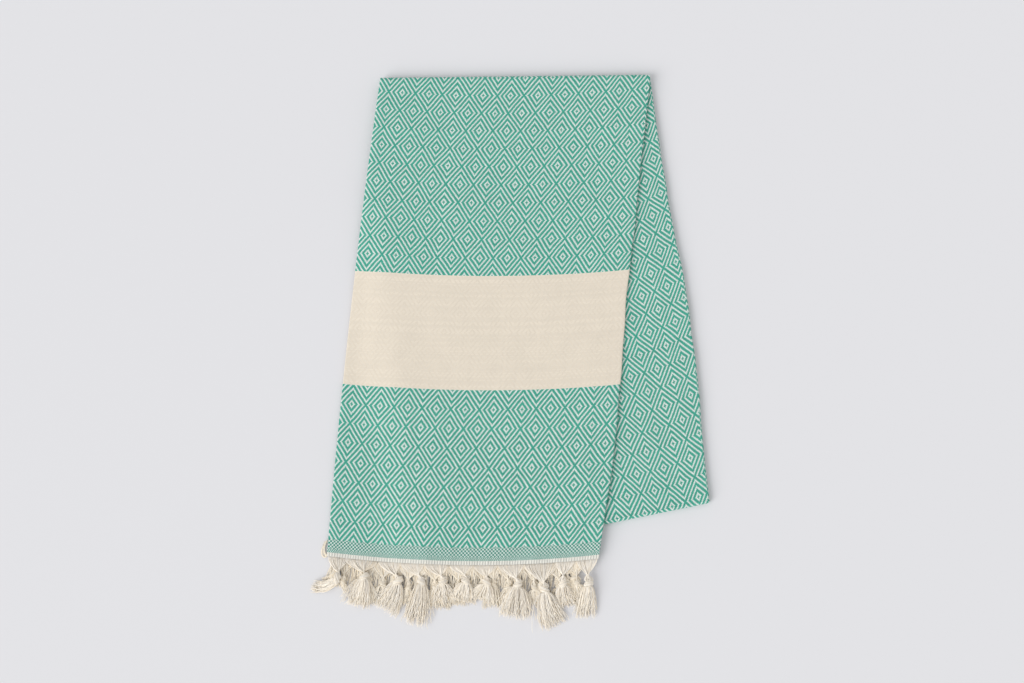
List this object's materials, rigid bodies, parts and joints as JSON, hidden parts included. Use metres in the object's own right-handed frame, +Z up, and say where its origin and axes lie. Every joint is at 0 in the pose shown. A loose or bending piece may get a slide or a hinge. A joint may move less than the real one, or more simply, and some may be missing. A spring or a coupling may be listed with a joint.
{
  "type": "folded fringed cotton towel",
  "caption": "Flat-woven cotton towel folded into three fanned leaves, with a woven diamond pattern, a plain natural band and a knotted tassel fringe at the hem.",
  "frame": {"origin": "on the table under the middle of the folded towel", "axes": "+Z up from the table, +Y along the towel towards its top fold, +X to the side that the middle leaf fans out to"},
  "size_m": [0.4613, 0.6645, 0.0119],
  "materials": {
    "diamond_cloth": "green and natural cotton twill woven in concentric diamonds, dry and matt",
    "natural_band": "natural cotton twill with the diamonds only in relief, matt",
    "plain_border": "plain weave of green weft over natural warp, matt",
    "cream_warp": "bare natural warp threads with a few cream wefts, matt",
    "tassel_cotton": "loose natural cotton threads, knotted and combed out, soft and matt"
  },
  "bodies": {
    "lower_leaves": {"top_fold": "diamond_cloth", "middle_upper_ply": "diamond_cloth", "middle_inner_ply": "diamond_cloth", "middle_lower_ply": "diamond_cloth", "middle_left_fold": "diamond_cloth", "middle_right_fold": "diamond_cloth", "lower_fold": "diamond_cloth", "third_upper_ply": "diamond_cloth", "third_inner_ply": "diamond_cloth", "third_bottom_ply": "diamond_cloth", "third_left_fold": "diamond_cloth", "third_right_fold": "diamond_cloth", "far_fringe": "tassel_cotton"},
    "front_leaf": {"front_heading": "cream_warp", "front_plain_border": "plain_border", "front_lower_field": "diamond_cloth", "front_natural_band": "natural_band", "front_upper_field": "diamond_cloth", "front_inner_ply": "diamond_cloth", "front_under_ply": "diamond_cloth", "front_left_fold": "diamond_cloth", "front_right_fold": "diamond_cloth", "inner_ply_fringe": "tassel_cotton", "under_ply_fringe": "tassel_cotton"},
    "tassel_01": {"tassel_01": "tassel_cotton"},
    "tassel_02": {"tassel_02": "tassel_cotton"},
    "tassel_03": {"tassel_03": "tassel_cotton"},
    "tassel_04": {"tassel_04": "tassel_cotton"},
    "tassel_05": {"tassel_05": "tassel_cotton"},
    "tassel_06": {"tassel_06": "tassel_cotton"},
    "tassel_07": {"tassel_07": "tassel_cotton"},
    "tassel_08": {"tassel_08": "tassel_cotton"},
    "tassel_09": {"tassel_09": "tassel_cotton"},
    "tassel_10": {"tassel_10": "tassel_cotton"},
    "tassel_11": {"tassel_11": "tassel_cotton"}
  },
  "joints": [
    {"name": "top_fold_hinge", "type": "hinge", "parent": "lower_leaves", "child": "front_leaf", "pos_m": [0.005, 0.329, 0.00765], "axis": [-0.9999, -0.0122, 0], "range_deg": [0, 179.5], "deforming": ["top_fold"]},
    {"name": "tassel_01_swing", "type": "hinge", "parent": "front_leaf", "child": "tassel_01", "pos_m": [-0.20103, -0.2528, 0.0041], "axis": [0.9998, -0.0174, 0], "range_deg": [-150, 0]},
    {"name": "tassel_02_swing", "type": "hinge", "parent": "front_leaf", "child": "tassel_02", "pos_m": [-0.17268, -0.25629, 0.0041], "axis": [0.9998, -0.0174, 0], "range_deg": [-150, 0]},
    {"name": "tassel_03_swing", "type": "hinge", "parent": "front_leaf", "child": "tassel_03", "pos_m": [-0.13961, -0.25953, 0.00716], "axis": [0.9998, -0.0174, 0], "range_deg": [-150, 0]},
    {"name": "tassel_04_swing", "type": "hinge", "parent": "front_leaf", "child": "tassel_04", "pos_m": [-0.11347, -0.26147, 0.01123], "axis": [0.9998, -0.0174, 0], "range_deg": [-150, 0]},
    {"name": "tassel_05_swing", "type": "hinge", "parent": "front_leaf", "child": "tassel_05", "pos_m": [-0.08544, -0.26294, 0.0116], "axis": [0.9998, -0.0174, 0], "range_deg": [-150, 0]},
    {"name": "tassel_06_swing", "type": "hinge", "parent": "front_leaf", "child": "tassel_06", "pos_m": [-0.05741, -0.26377, 0.0116], "axis": [0.9998, -0.0174, 0], "range_deg": [-150, 0]},
    {"name": "tassel_07_swing", "type": "hinge", "parent": "front_leaf", "child": "tassel_07", "pos_m": [-0.02843, -0.26397, 0.01149], "axis": [0.9998, -0.0174, 0], "range_deg": [-150, 0]},
    {"name": "tassel_08_swing", "type": "hinge", "parent": "front_leaf", "child": "tassel_08", "pos_m": [0.00054, -0.26349, 0.01106], "axis": [0.9998, -0.0174, 0], "range_deg": [-150, 0]},
    {"name": "tassel_09_swing", "type": "hinge", "parent": "front_leaf", "child": "tassel_09", "pos_m": [0.03487, -0.26204, 0.01035], "axis": [0.9998, -0.0174, 0], "range_deg": [-150, 0]},
    {"name": "tassel_10_swing", "type": "hinge", "parent": "front_leaf", "child": "tassel_10", "pos_m": [0.06259, -0.26018, 0.00975], "axis": [0.9998, -0.0174, 0], "range_deg": [-150, 0]},
    {"name": "tassel_11_swing", "type": "hinge", "parent": "front_leaf", "child": "tassel_11", "pos_m": [0.0881, -0.25792, 0.00924], "axis": [0.9998, -0.0174, 0], "range_deg": [-150, 0]}
  ]
}
